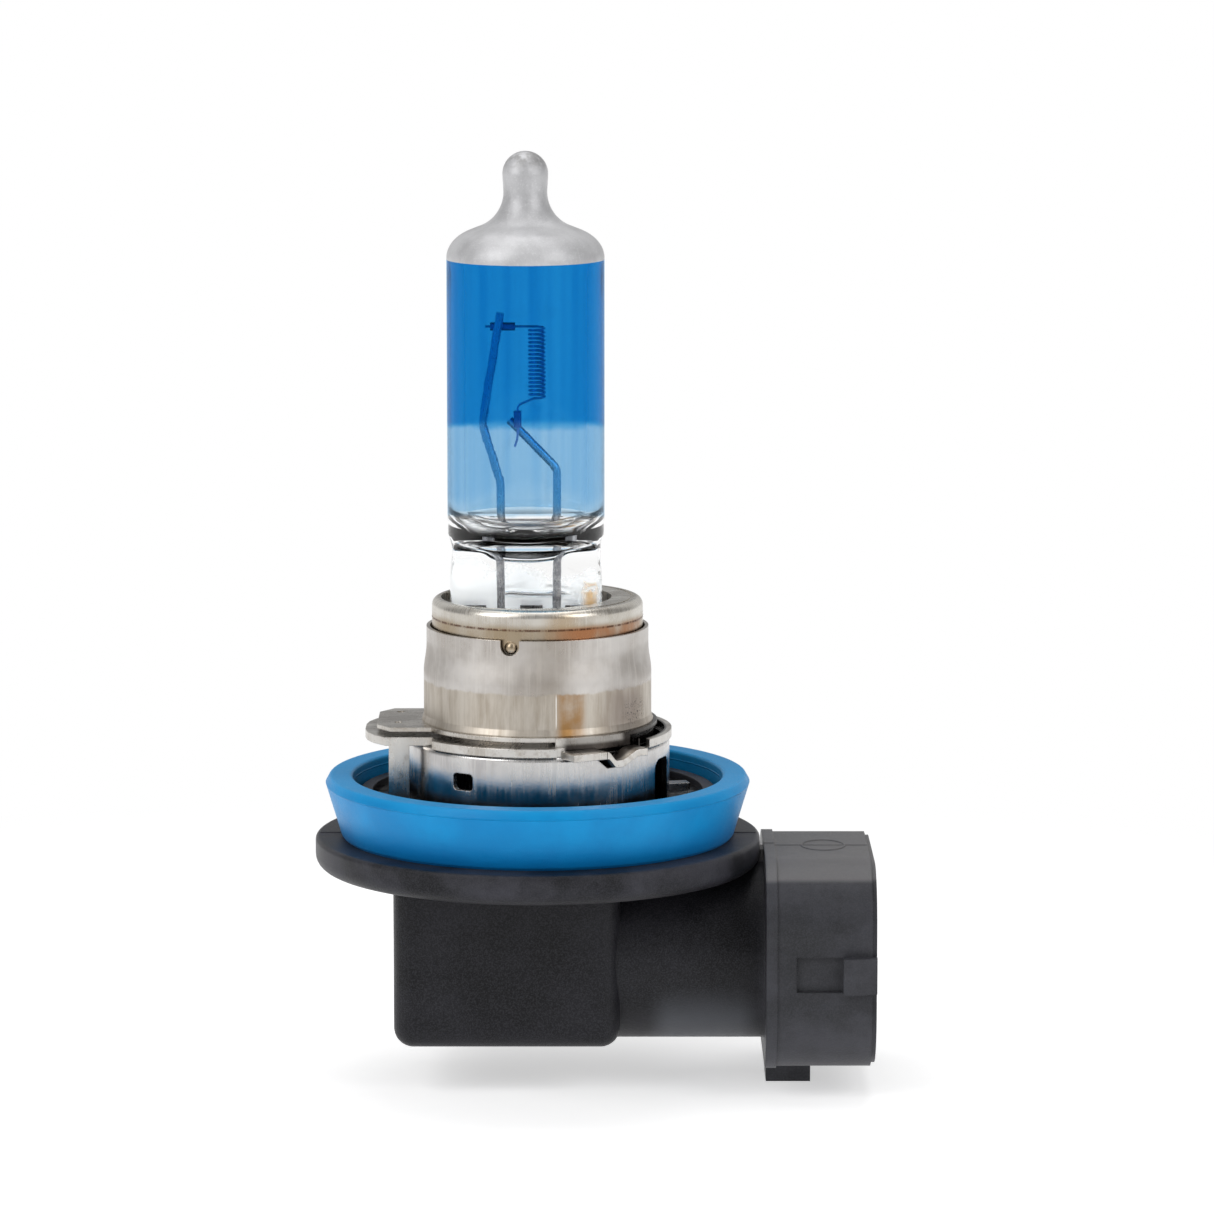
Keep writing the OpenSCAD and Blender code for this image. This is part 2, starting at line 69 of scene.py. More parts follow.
camera_data = bpy.data.cameras.new("camera")
camera_data.lens = 162.98
camera_data.sensor_width = 36
camera_data.clip_start = 0.01
camera = bpy.data.objects.new("camera", camera_data)
camera.location = TARGET + DISTANCE * Vector((0, -math.cos(ELEVATION), math.sin(ELEVATION)))
camera.rotation_euler = (math.pi / 2 - ELEVATION, 0, 0)
bpy.context.scene.collection.objects.link(camera)
bpy.context.scene.camera = camera
bpy.context.scene.view_settings.view_transform = "Standard"
bpy.context.scene.cycles.max_bounces = 16
bpy.context.scene.cycles.transmission_bounces = 14
bpy.context.scene.cycles.transparent_max_bounces = 16


# ---------------------------------------------------------------- node helpers

def srgb(r, g, b):
    """A colour given as 0 to 255 values, as linear numbers."""
    def line(v):
        v /= 255
        return v / 12.92 if v <= 0.04045 else ((v + 0.055) / 1.055) ** 2.4
    return (line(r), line(g), line(b), 1.0)


def add(tree, kind, inputs=None, **settings):
    """Makes one shader node and fills its inputs with numbers or with links."""
    made = tree.nodes.new("ShaderNode" + kind)
    for key, value in settings.items():
        setattr(made, key, value)
    for key, value in (inputs or {}).items():
        if isinstance(value, bpy.types.NodeSocket):
            tree.links.new(value, made.inputs[key])
        else:
            made.inputs[key].default_value = value
    return made


class Graph:
    """The node tree of one material, with its pattern coordinates in millimetres."""

    def __init__(self, name):
        self.material = bpy.data.materials.get(name) or bpy.data.materials.new(name)
        self.material.use_nodes = True
        self.tree = self.material.node_tree
        self.tree.nodes.clear()
        coords = self.add("TexCoord")
        self.mm = self.vector("SCALE", coords.outputs["Object"], scale=1000)
        self.x, self.y, self.z = self.add("SeparateXYZ", {0: self.mm}).outputs
        self.azimuth = self.times(self.math("ARCTAN2", self.y, self.x), 180 / math.pi)
        self.radius = self.math("SQRT", self.plus(self.times(self.x, self.x), self.times(self.y, self.y)))

    def add(self, kind, inputs=None, **settings):
        return add(self.tree, kind, inputs, **settings)

    def vector(self, operation, a, b=(0, 0, 0), scale=1):
        return self.add("VectorMath", {0: a, 1: b, 3: scale}, operation=operation).outputs[0]

    def math(self, operation, a, b=0.0):
        return self.add("Math", {0: a, 1: b}, operation=operation).outputs[0]

    def times(self, a, b):
        return self.math("MULTIPLY", a, b)

    def plus(self, a, b):
        return self.math("ADD", a, b)

    def span(self, value, low, high, to_low=0.0, to_high=1.0):
        """Rises smoothly from to_low at low to to_high at high."""
        return self.add("MapRange", {0: value, 1: low, 2: high, 3: to_low, 4: to_high},
                        interpolation_type="SMOOTHSTEP").outputs[0]

    def band(self, value, low, high, soft):
        """1 between low and high, and 0 outside, with soft edges."""
        return self.times(self.span(value, low - soft, low + soft),
                          self.span(value, high - soft, high + soft, 1, 0))

    def around(self, along=1.0, up=1.0):
        """Pattern coordinates that run round the cap's axis."""
        return self.add("CombineXYZ", {0: self.times(self.azimuth, along), 1: 0.0,
                                       2: self.times(self.z, up)}).outputs[0]

    def noise(self, scale, where=None, stretch=(1, 1, 1), seed=0.0, detail=3.0, rough=0.55):
        """Noise with scale cells to one unit of its coordinates, moved by the seed."""
        point = self.vector("MULTIPLY", where or self.mm, stretch)
        point = self.vector("ADD", point, (seed, seed * 1.7, seed * 0.6))
        return self.add("TexNoise", {"Vector": point, "Scale": scale, "Detail": detail,
                                     "Roughness": rough}).outputs[0]

    def mix(self, factor, a, b):
        return self.add("Mix", {0: factor, 6: a, 7: b}, data_type="RGBA").outputs[2]

    def bump(self, height, depth, below=None):
        """Relief of a depth in millimetres, on top of the relief below."""
        inputs = {"Height": height, "Distance": depth * MM, "Strength": 1.0}
        if below is not None:
            inputs["Normal"] = below
        return self.add("Bump", inputs).outputs[0]

    def bevel(self, radius):
        """Rounds sharp edges in the shading by a radius in millimetres."""
        return self.add("Bevel", {"Radius": radius * MM}, samples=4).outputs[0]

    def surface(self, colour, roughness, normal=None, **settings):
        inputs = {"Base Color": colour, "Roughness": roughness}
        if normal is not None:
            inputs["Normal"] = normal
        inputs.update(settings)
        self.end(self.add("BsdfPrincipled", inputs).outputs[0])

    def end(self, shader):
        self.add("OutputMaterial", {"Surface": shader})


# ---------------------------------------------------------------- materials

def steel(name, light, dark, roughness):
    """What the sheet steels share: brushed streaks, cloudy stains and fine scratches."""
    g = Graph(name)
    clouds = g.noise(0.28, seed=3, detail=4)
    streaks = g.noise(1.6, g.around(0.5, 0.12), seed=5, detail=4, rough=0.65)
    fine = g.noise(9, g.around(0.5, 0.072), seed=9, detail=2)
    colour = g.mix(g.span(clouds, 0.35, 0.65), dark, light)
    colour = g.mix(g.span(streaks, 0.42, 0.72, 0, 0.35), colour, srgb(222, 218, 212))
    grain = g.noise(14, seed=2, detail=3)
    rough = g.plus(g.span(clouds, 0.3, 0.7, roughness - 0.06, roughness + 0.08),
                   g.span(streaks, 0.3, 0.7, -0.05, 0.06))
    normal = g.bump(fine, 0.004, g.bevel(0.07))
    normal = g.bump(grain, 0.003, normal)
    return g, colour, rough, normal


def ring_steel():
    """Inner collar: straw and copper heat colours, and a dotted weld line."""
    g, colour, rough, normal = steel("ring_steel", srgb(212, 208, 200), srgb(182, 175, 164), 0.26)
    outside = g.span(g.radius, 7.25, 7.4)
    heat = g.times(g.band(g.z, 7.2, 8.95, 0.3), outside)
    patchy = g.noise(0.35, g.around(0.12, 0.5), seed=4, detail=4)
    colour = g.mix(g.times(heat, g.span(patchy, 0.3, 0.6, 0.35, 0.8)), colour, srgb(150, 130, 100))
    right = g.times(g.span(g.azimuth, -92, -66), g.span(g.azimuth, -24, -8, 1, 0))
    hot = g.times(g.band(g.z, 7.7, 8.8, 0.25), g.times(right, outside))
    colour = g.mix(g.times(hot, g.span(patchy, 0.4, 0.62, 0.2, 0.75)), colour, srgb(160, 96, 52))
    above = g.times(g.band(g.z, 8.8, 9.75, 0.3), g.band(g.azimuth, -84, -68, 6))
    colour = g.mix(g.times(above, 0.5), colour, srgb(176, 148, 108))
    dots = g.noise(1.0, g.around(0.55, 1.2), seed=8, detail=2)
    line = g.times(g.band(g.z, 8.62, 8.76, 0.05), g.span(dots, 0.36, 0.56, 0.35, 1))
    line = g.times(line, outside)
    colour = g.mix(g.times(line, 0.85), colour, srgb(84, 50, 34))
    g.surface(colour, rough, normal, Metallic=1.0)


def sleeve_steel():
    """Adjusting sleeve: satin cone, brushed foot, amber patch, seam and scratches."""
    g, colour, rough, normal = steel("sleeve_steel", srgb(206, 202, 198), srgb(178, 172, 166), 0.33)
    edge = g.plus(g.z, g.span(g.noise(0.5, g.around(0.3, 0.2), seed=6), 0.2, 0.8, -0.12, 0.12))
    low = g.span(edge, 4.1, 4.3, 1, 0)
    wide = g.noise(1.0, g.around(0.16, 0.25), seed=12, detail=4, rough=0.6)
    fine = g.noise(1.0, g.around(0.9, 0.2), seed=13, detail=4, rough=0.7)
    brushed = g.plus(g.times(wide, 0.7), g.times(fine, 0.3))
    low_colour = g.mix(g.span(brushed, 0.35, 0.65), srgb(166, 155, 140), srgb(196, 188, 176))
    colour = g.mix(g.times(low, 0.85), colour, low_colour)
    patch = g.times(g.band(g.azimuth, -79, -66, 3), low)
    patch = g.times(patch, g.span(g.noise(0.5, seed=15, detail=5), 0.3, 0.65, 0.35, 1))
    colour = g.mix(g.times(patch, 0.9), colour, srgb(158, 116, 62))
    smoke = g.times(g.band(g.azimuth, -52, -26, 10), g.band(g.z, 1.4, 4.2, 0.8))
    colour = g.mix(g.times(smoke, 0.45), colour, srgb(112, 98, 96))
    seam = g.times(g.band(g.azimuth, -80.3, -79.8, 0.2), g.band(g.z, 1.9, 4.1, 0.3))
    colour = g.mix(seam, colour, srgb(240, 238, 232))
    middle = g.times(g.band(g.azimuth, -98, -74, 12), g.span(edge, 4.1, 4.3))
    colour = g.mix(g.times(middle, 0.35), colour, srgb(140, 126, 108))
    scratch = g.noise(3.0, g.around(0.35, 2.2), seed=21, detail=4, rough=0.75)
    area = g.times(g.band(g.azimuth, -40, -22, 4), g.band(g.z, 1.6, 3.2, 0.5))
    scratch = g.times(g.span(scratch, 0.55, 0.62), area)
    colour = g.mix(g.times(scratch, 0.95), colour, srgb(46, 38, 40))
    normal = g.bump(g.times(brushed, low), 0.01, normal)
    normal = g.bump(g.plus(seam, scratch), -0.02, normal)
    cone = g.band(g.z, 4.6, 6.9, 0.3)
    rough = g.plus(rough, g.plus(g.times(low, 0.08), g.times(cone, 0.22)))
    g.surface(colour, rough, normal, Metallic=1.0)


def plate_steel():
    """Stamped plates with lugs: small pits, with painted shade and a painted dark reflection in the pocket
    by the lugs, and painted shade in the slot under the sleeve.
    """
    g, colour, rough, normal = steel("plate_steel", srgb(214, 211, 206), srgb(176, 170, 162), 0.26)
    worn = g.span(g.noise(1.1, seed=31, detail=5, rough=0.7), 0.52, 0.7)
    colour = g.mix(g.times(worn, 0.35), colour, srgb(128, 112, 94))
    # painted shade and painted dark reflection: the plate's top in the pocket beside the lugs is coloured
    # dark brown
    painted_shade_pocket = g.times(g.band(g.azimuth, -77, -36, 2), g.span(g.radius, 9.9, 10.5, 1, 0))
    painted_shade_pocket = g.times(painted_shade_pocket, g.span(g.z, 0.62, 0.9, 1, 0.5))
    colour = g.mix(g.times(painted_shade_pocket, 0.9), colour, srgb(44, 34, 28))
    # painted shade: the plate inside radius 9.3 mm on the right is coloured almost black, for the shadow
    # under the sleeve
    slot = g.times(g.band(g.azimuth, -46, 36, 2), g.span(g.radius, 9.15, 9.3, 1, 0))
    colour = g.mix(g.times(slot, 0.9), colour, srgb(30, 26, 24))
    pits = g.add("TexVoronoi", {"Vector": g.mm, "Scale": 2.2}).outputs["Distance"]
    pits = g.span(pits, 0.05, 0.12, 1, 0)
    colour = g.mix(g.times(pits, 0.5), colour, srgb(90, 84, 80))
    g.surface(colour, rough, normal, Metallic=1.0)


def cap_steel():
    """Round cap: smooth drawn wall, with a painted reflection of the dark resin and blue seal towards its
    foot, and painted shade inside it.
    """
    g, colour, rough, normal = steel("cap_steel", srgb(212, 210, 208), srgb(178, 176, 176), 0.2)
    # painted reflection: the lower wall is coloured dark bluish grey for the resin and seal mirrored in it
    low = g.span(g.z, -4.6, -2.2, 1, 0)
    colour = g.mix(g.times(low, 0.78), colour, srgb(60, 64, 72))
    drawn = g.noise(0.8, g.around(0.2, 0.12), seed=41, detail=4, rough=0.6)
    colour = g.mix(g.span(drawn, 0.5, 0.75, 0, 0.3), colour, srgb(240, 238, 235))
    # painted shade: inside radius 9 mm the cap is coloured almost black, for the shadow within it
    inside = g.times(g.span(g.radius, 8.9, 9.1, 1, 0), 0.9)
    colour = g.mix(inside, colour, srgb(30, 28, 28))
    normal = g.bump(drawn, 0.004, normal)
    g.surface(colour, rough, normal, Metallic=1.0)


def plain_metal(name, light, dark, roughness, painted_blue_light=None, share=0.0):
    """Wire and small stampings. Inside the tube a share of painted blue light is mixed into the colour, to
    look bluer.
    """
    g = Graph(name)
    spots = g.noise(2.6, seed=7, detail=4)
    grain = g.noise(12, stretch=(1, 1, 0.2), seed=1, detail=3)
    colour = g.mix(g.span(spots, 0.35, 0.65), dark, light)
    # painted light: above the pinch the colour turns towards the blue of the light inside the tube
    if painted_blue_light:
        colour = g.mix(g.span(g.z, 15.4, 17.0, 0, share), colour, painted_blue_light)
    rough = g.span(grain, 0.3, 0.7, roughness - 0.07, roughness + 0.09)
    normal = g.bump(grain, 0.006, g.bevel(0.04))
    g.surface(colour, rough, normal, Metallic=1.0)


def compound():
    """Cast resin: dull skin with glossy pools."""
    g = Graph("compound")
    waves = g.noise(0.55, seed=3, detail=1)
    blobs = g.noise(1.7, seed=13, detail=2)
    colour = g.mix(g.span(waves, 0.3, 0.7), srgb(8, 8, 10), srgb(26, 25, 26))
    normal = g.bump(waves, 0.7)
    normal = g.bump(blobs, 0.2, normal)
    dull = g.add("BsdfPrincipled", {"Base Color": colour, "Roughness": g.span(blobs, 0.3, 0.7, 0.3, 0.45),
                                    "Specular IOR Level": 0.08, "Normal": normal})
    wet = g.add("BsdfPrincipled", {"Base Color": colour, "Roughness": g.span(blobs, 0.3, 0.7, 0.03, 0.1),
                                   "IOR": 1.7, "Coat Weight": 0.6, "Coat Roughness": 0.03,
                                   "Normal": normal})
    pool = g.span(g.noise(0.3, seed=44, detail=1), 0.4, 0.7, 0.1, 0.9)
    g.end(g.add("MixShader", {0: pool, 1: dull.outputs[0], 2: wet.outputs[0]}).outputs[0])


def silicone():
    """Seal ring: dyed silicone with dust on it and a faint mould flash, with painted shade low down and
    painted light on its top.
    """
    g = Graph("silicone")
    clouds = g.noise(0.22, seed=3, detail=4)
    dust = g.noise(7, seed=17, detail=4, rough=0.7)
    grain = g.noise(18, seed=5, detail=2)
    colour = g.mix(g.span(clouds, 0.3, 0.7), srgb(0, 133, 199), srgb(0, 147, 213))
    colour = g.mix(g.span(dust, 0.62, 0.8, 0, 0.25), colour, srgb(96, 166, 220))
    # painted shade: darker blue towards the bottom of the seal
    low = g.span(g.z, -7.2, -4.6, 1, 0)
    colour = g.mix(g.times(low, 0.5), colour, srgb(0, 84, 164))
    # painted light: lighter blue on the top of the seal, which faces the lamps
    top = g.span(g.z, -3.2, -2.8)
    colour = g.mix(g.times(top, 0.5), colour, srgb(30, 156, 218))
    flash = g.band(g.z, -3.42, -3.34, 0.03)
    rough = g.span(dust, 0.3, 0.75, 0.34, 0.5)
    normal = g.bump(grain, 0.01)
    normal = g.bump(g.plus(flash, g.noise(0.9, g.around(0.12, 1.4), seed=4)), 0.035, normal)
    g.surface(colour, rough, normal, **{"Specular IOR Level": 0.2, "Sheen Weight": 0.03,
                                        "Sheen Roughness": 0.4})


def base_plastic():
    """Black moulding: satin grain and flow marks, with painted shade under the flange, a painted sheen
    under the neck, and painted light and a painted highlight on the shell.
    """
    g = Graph("base_plastic")
    clouds = g.noise(0.16, seed=3, detail=5, rough=0.6)
    flow = g.noise(0.6, stretch=(0.25, 1, 1), seed=6, detail=4)
    grain = g.noise(11, seed=2, detail=3)
    specks = g.noise(5, seed=23, detail=4, rough=0.75)
    colour = g.mix(g.span(clouds, 0.35, 0.65), srgb(11, 12, 17), srgb(54, 54, 61))
    colour = g.mix(g.span(flow, 0.45, 0.75, 0, 0.2), colour, srgb(66, 67, 71))
    colour = g.mix(g.span(specks, 0.62, 0.78, 0, 0.3), colour, srgb(74, 74, 76))
    # painted shade: the column and neck under the flange are coloured darker
    painted_shade_under_flange = g.times(g.span(g.z, -9.2, -8.4, 1, 0), g.span(g.x, 14.5, 16.5, 1, 0))
    colour = g.mix(g.times(painted_shade_under_flange, 0.72), colour, srgb(7, 7, 10))
    # painted light: the connector shell is coloured lighter, as if lit from the right
    colour = g.mix(g.times(g.span(g.x, 15.5, 16.5), 0.25), colour, srgb(84, 85, 88))
    # painted sheen: the lower side of the neck is coloured lighter
    painted_sheen_belly = g.times(g.band(g.x, 8.6, 15.2, 1.0), g.span(g.z, -20.5, -16.5, 1, 0))
    colour = g.mix(g.times(painted_sheen_belly, 0.6), colour, srgb(92, 95, 101))
    # painted highlight: light grey along the top of the connector shell
    painted_highlight_crown = g.times(g.span(g.x, 15.6, 16.2), g.span(g.z, -9.3, -8.95))
    colour = g.mix(g.times(painted_highlight_crown, 0.5), colour, srgb(138, 136, 136))
    colour = g.mix(g.span(grain, 0.4, 0.65, 0, 0.22), colour, srgb(80, 80, 86))
    rough = g.plus(g.span(clouds, 0.3, 0.7, 0.34, 0.46), g.span(grain, 0.3, 0.7, -0.04, 0.05))
    normal = g.bump(grain, 0.03, g.bevel(0.18))
    normal = g.bump(flow, 0.03, normal)
    g.surface(colour, rough, normal, **{"Specular IOR Level": 0.2})


def glass():
    """Hard glass: drawn streaks, milky pinch with a stain, and a melted band that reflects little."""
    g = Graph("glass")
    drawn = g.noise(0.9, stretch=(1, 1, 0.03), seed=3, detail=3)
    smear = g.noise(0.5, seed=9, detail=4, rough=0.7)
    rough = g.span(smear, 0.55, 0.8, 0.0, 0.03)
    tone = g.mix(g.span(smear, 0.3, 0.7), (0.98, 0.99, 1, 1), (1, 1, 1, 1))
    tone = g.mix(g.span(g.z, 12.5, 13.3), (0.93, 0.93, 0.925, 1), tone)
    off_axis = g.math("SUBTRACT", g.x, TUBE_X)
    shader = g.add("BsdfPrincipled", {"Base Color": tone, "Roughness": rough, "IOR": 1.5,
                                      "Transmission Weight": 1.0, "Normal": g.bump(drawn, 0.012)})
    clear = g.add("BsdfTransparent", {"Color": (0.97, 0.98, 0.99, 1)})
    shadow = g.add("LightPath").outputs["Is Shadow Ray"]
    foot = g.plus(g.z, g.span(g.noise(0.35, seed=12, detail=4), 0.3, 0.7, -0.9, 0.9))
    back = g.span(g.y, 0.3, 0.5)
    cloudy = g.times(g.span(foot, 10.2, 12.4, 0.9, 0.0), g.math("MAXIMUM", back, 0.08))
    patch = g.plus(foot, g.span(g.noise(1.6, seed=22, detail=4), 0.3, 0.7, -0.6, 0.6))
    stain = g.times(g.band(g.x, 3.3, 4.3, 0.45), g.span(patch, 9.6, 10.8, 1, 0))
    milk = g.mix(g.times(stain, 0.9), (0.87, 0.87, 0.86, 1), srgb(206, 158, 84))
    share = g.math("MAXIMUM", cloudy, g.times(stain, 0.6))
    groove = g.times(g.band(g.z, *GROOVE_Z, 0.03),
                     g.band(off_axis, GROOVE_X - GROOVE_HALF, GROOVE_X + GROOVE_HALF, 0.4))
    share = g.times(share, g.math("SUBTRACT", 1.0, groove))
    haze = g.add("AddShader", {0: g.add("BsdfDiffuse", {"Color": milk}).outputs[0],
                               1: g.add("BsdfTranslucent", {"Color": milk}).outputs[0]})
    bend = g.add("BsdfRefraction", {"Color": tone, "Roughness": 0.0, "IOR": 1.5})
    aside = g.math("ABSOLUTE", off_axis)
    melted = g.times(g.band(g.z, 13.4, 15.2, 0.3), g.span(aside, 2.7, 4.0, 0.95, 0.15))
    body = g.add("MixShader", {0: melted, 1: shader.outputs[0], 2: bend.outputs[0]})
    hazy = g.add("MixShader", {0: share, 1: body.outputs[0], 2: haze.outputs[0]})
    g.end(g.add("MixShader", {0: shadow, 1: hazy.outputs[0], 2: clear.outputs[0]}).outputs[0])


def blue_coating():
    """Blue filter layer in two depths. A ray meets two faces of it at each wall of the tube."""
    g = Graph("blue_coating")
    streaks = g.noise(0.8, stretch=(1, 1, 0.02), seed=7, detail=3)
    dip = g.plus(g.z, g.span(g.noise(0.3, seed=2), 0.3, 0.7, -0.1, 0.1))
    edge = g.plus(dip, g.times(g.y, 0.14))
    deep = g.mix(g.span(streaks, 0.3, 0.7), (0.25, 0.63, 0.835, 1), (0.33, 0.69, 0.87, 1))
    light = g.mix(g.span(streaks, 0.3, 0.7), (0.63, 0.795, 0.907, 1), (0.72, 0.84, 0.92, 1))
    light = g.mix(g.span(dip, 16.4, 17.6, 0.6, 0), light, (0.80, 0.88, 0.935, 1))
    tint = g.mix(g.span(edge, 22.05, 22.6), light, deep)
    tint = g.mix(g.span(edge, 15.65, 15.95), (1, 1, 1, 1), tint)
    clear = g.add("BsdfTransparent", {"Color": tint})
    gloss = g.add("BsdfGlossy", {"Roughness": 0.04, "Normal": g.bump(streaks, 0.01)})
    grazing = g.math("POWER", g.add("LayerWeight", {"Blend": 0.5}).outputs["Facing"], 5.0)
    outside = g.math("SUBTRACT", 1.0, g.add("NewGeometry").outputs["Backfacing"])
    share = g.times(g.times(grazing, 0.5), outside)
    g.end(g.add("MixShader", {0: share, 1: clear.outputs[0], 2: gloss.outputs[0]}).outputs[0])


def tip_coating():
    """Grey frosted layer, worn at the tip."""
    g = Graph("tip_coating")
    clouds = g.noise(0.45, seed=3, detail=4, rough=0.6)
    grit = g.noise(7, seed=8, detail=4, rough=0.75)
    colour = g.mix(g.span(clouds, 0.3, 0.7), srgb(182, 182, 184), srgb(204, 204, 206))
    colour = g.mix(g.span(grit, 0.5, 0.75, 0, 0.45), colour, srgb(232, 232, 234))
    colour = g.mix(g.span(grit, 0.2, 0.42, 0.3, 0), colour, srgb(128, 128, 132))
    worn = g.times(g.span(g.z, 40.2, 41.4), g.span(g.noise(1.3, seed=19, detail=4), 0.4, 0.6))
    colour = g.mix(g.times(worn, 0.6), colour, srgb(120, 118, 116))
    rough = g.span(grit, 0.3, 0.7, 0.3, 0.46)
    g.surface(colour, rough, g.bump(grit, 0.03), Metallic=0.35)


ring_steel()
sleeve_steel()
plate_steel()
cap_steel()
# the last colour and share on the next three lines are painted blue light inside the tube
plain_metal("tungsten", srgb(150, 148, 150), srgb(108, 106, 110), 0.32, srgb(116, 156, 226), 0.7)
plain_metal("clamp_metal", srgb(112, 118, 136), srgb(78, 84, 102), 0.34, srgb(80, 118, 190), 0.7)
plain_metal("lead_metal", srgb(168, 169, 172), srgb(134, 135, 140), 0.3, srgb(88, 176, 220), 0.8)
plain_metal("clip_steel", srgb(170, 168, 170), srgb(130, 128, 130), 0.3)
plain_metal("terminal_metal", srgb(214, 208, 192), srgb(178, 168, 146), 0.25)
compound()
silicone()
base_plastic()
glass()
blue_coating()
tip_coating()


# ---------------------------------------------------------------- mesh helpers

def piece(name, points, faces, slot, body="lamp", sharp=None):
    """A new smooth mesh, in millimetres, that rides on a body."""
    mesh = bpy.data.meshes.new(name)
    mesh.from_pydata([Vector(p) * MM for p in points], [], faces)
    mesh.polygons.foreach_set("use_smooth", [True] * len(mesh.polygons))
    if sharp:
        mesh.set_sharp_from_angle(angle=math.radians(sharp))
    mesh.materials.append(bpy.data.materials[slot])
    mesh.update()
    made = bpy.data.objects.new(name, mesh)
    bpy.context.scene.collection.objects.link(made)
    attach(made, body)
    return made


def skin(rings, start=0, flip=False):
    """Faces between rings of equal count, with a fan to a centre point at each end."""
    count = len(rings[0])
    points = [p for ring in rings for p in ring]
    faces = []
    for i in range(len(rings) - 1):
        for j in range(count):
            k = (j + 1) % count
            a = start + i * count
            faces.append((a + j, a + k, a + count + k, a + count + j))
    for ring, turn in ((0, True), (len(rings) - 1, False)):
        centre = sum((Vector(p) for p in rings[ring]), Vector()) / count
        points.append(tuple(centre))
        c = start + len(points) - 1
        for j in range(count):
            k = (j + 1) % count
            a, b = start + ring * count + j, start + ring * count + k
            faces.append((a, c, b) if turn else (a, b, c))
    if flip:
        faces = [tuple(reversed(f)) for f in faces]
    return points, faces


def shell(outer, inner):
    """A closed layer between two open stacks of rings with the same count."""
    rings = outer + inner[::-1] + [outer[0]]
    count = len(rings[0])
    points = [p for ring in rings[:-1] for p in ring]
    faces = []
    total = len(points)
    for i in range(len(rings) - 1):
        for j in range(count):
            k = (j + 1) % count
            a, b = i * count, ((i + 1) * count) % total
            faces.append((a + j, a + k, b + k, b + j))
    return points, faces


def tube(path, radius, sides, up=Vector((0.31, 0.23, 0.92))):
    """Round wire along a path, with its frame carried from point to point."""
    turns = [2 * math.pi * j / sides for j in range(sides)]
    rings = []
    side = None
    for i, p in enumerate(path):
        along = (path[min(i + 1, len(path) - 1)] - path[max(i - 1, 0)]).normalized()
        side = (side or up) - along * (side or up).dot(along)
        side.normalize()
        other = along.cross(side)
        rings.append([tuple(p + radius * (math.cos(a) * side + math.sin(a) * other)) for a in turns])
    return skin(rings)


def smooth_path(corners, bend, steps=9):
    """Route through corners, each turned into a curve that starts and ends at a distance bend from it."""
    corners = [Vector(c) for c in corners]
    path = [corners[0]]
    for a, p, b in zip(corners, corners[1:], corners[2:]):
        start = p + (a - p).normalized() * bend
        end = p + (b - p).normalized() * bend
        for i in range(steps + 1):
            t = i / steps
            path.append((1 - t) ** 2 * start + 2 * t * (1 - t) * p + t * t * end)
    path.append(corners[-1])
    return path


def ease(value, low, high):
    """Rises smoothly from 0 at low to 1 at high."""
    t = min(1.0, max(0.0, (value - low) / (high - low)))
    return t * t * (3 - 2 * t)


# ---------------------------------------------------------------- glass

TUBE_R = 5.55
BORE_R = 4.38
SHOULDER_X = 2.4  # the shoulder's arc is centred this far from the tube's axis
SHOULDER_Z = 34.25
FOOT_Z = 3.0
PINCH_Z = (12.7, 14.6)  # the press closes between these heights in the middle of the tube
PINCH_ARC = 1.0  # and this much higher at its sides
PINCH_HALF = (6.0, 1.9)  # half width and half thickness of the press
CORNER = 14.0  # higher makes the pinch's corners sharper
BOWL_CORNER = 8.0  # the same for the foot of the gas space
SIDE_WAVE = 0.16  # depth of the uneven glass at the sides of the pinch
FACE_WAVE = 0.10  # and on its faces
AROUND = 128
ANGLES = [2 * math.pi * j / AROUND for j in range(AROUND)]


def oval(x, z, rx, rz, a, b, steps):
    """Part of an ellipse, from angle a to angle b."""
    return [(x + rx * math.cos(math.radians(a + (b - a) * i / steps)),
             z + rz * math.sin(math.radians(a + (b - a) * i / steps))) for i in range(steps + 1)]


def top_outline(t):
    """Radius and height of the glass from its shoulder to its tip, moved outwards by t."""
    return (oval(SHOULDER_X, SHOULDER_Z, TUBE_R - SHOULDER_X + t, 2.2 + t, 0, 62, 18)
            + oval(4.15, 38.93, 2.65 - t, 2.65 - t, 249, 180, 18)[1:]
            + oval(0, 40.18, 1.57 + t, 1.57 + t, -8, 90, 22)[1:])


def reach(a, r, across=0.0, through=0.0, power=CORNER):
    """Distance from the tube's axis, at angle a, to a circle of radius r with pressed sides.

    across and through are the half width and half thickness of the press, to the power -power.
    """
    pressed_in = across * abs(math.cos(a)) ** power + through * abs(math.sin(a)) ** power
    return (r ** -power + pressed_in) ** (-1 / power)


def at(a, distance, z):
    return (TUBE_X + distance * math.cos(a), distance * math.sin(a), z)


def section(z, r, t=0.0):
    """One round ring, moved outwards by t."""
    return [at(a, r + t, z) for a in ANGLES]


def pressed(z):
    """Half thickness, half width and strength of the pinch at a height."""
    half_y = PINCH_HALF[1] + (TUBE_R - PINCH_HALF[1]) * ease(z, *PINCH_Z)
    half_x = PINCH_HALF[0] - 0.35 * ease(z, 10.9, 12.9) * (1 - ease(z, 13.8, 14.8))
    return half_y, half_x, 1 - ease(z, 13.9, PINCH_Z[1])


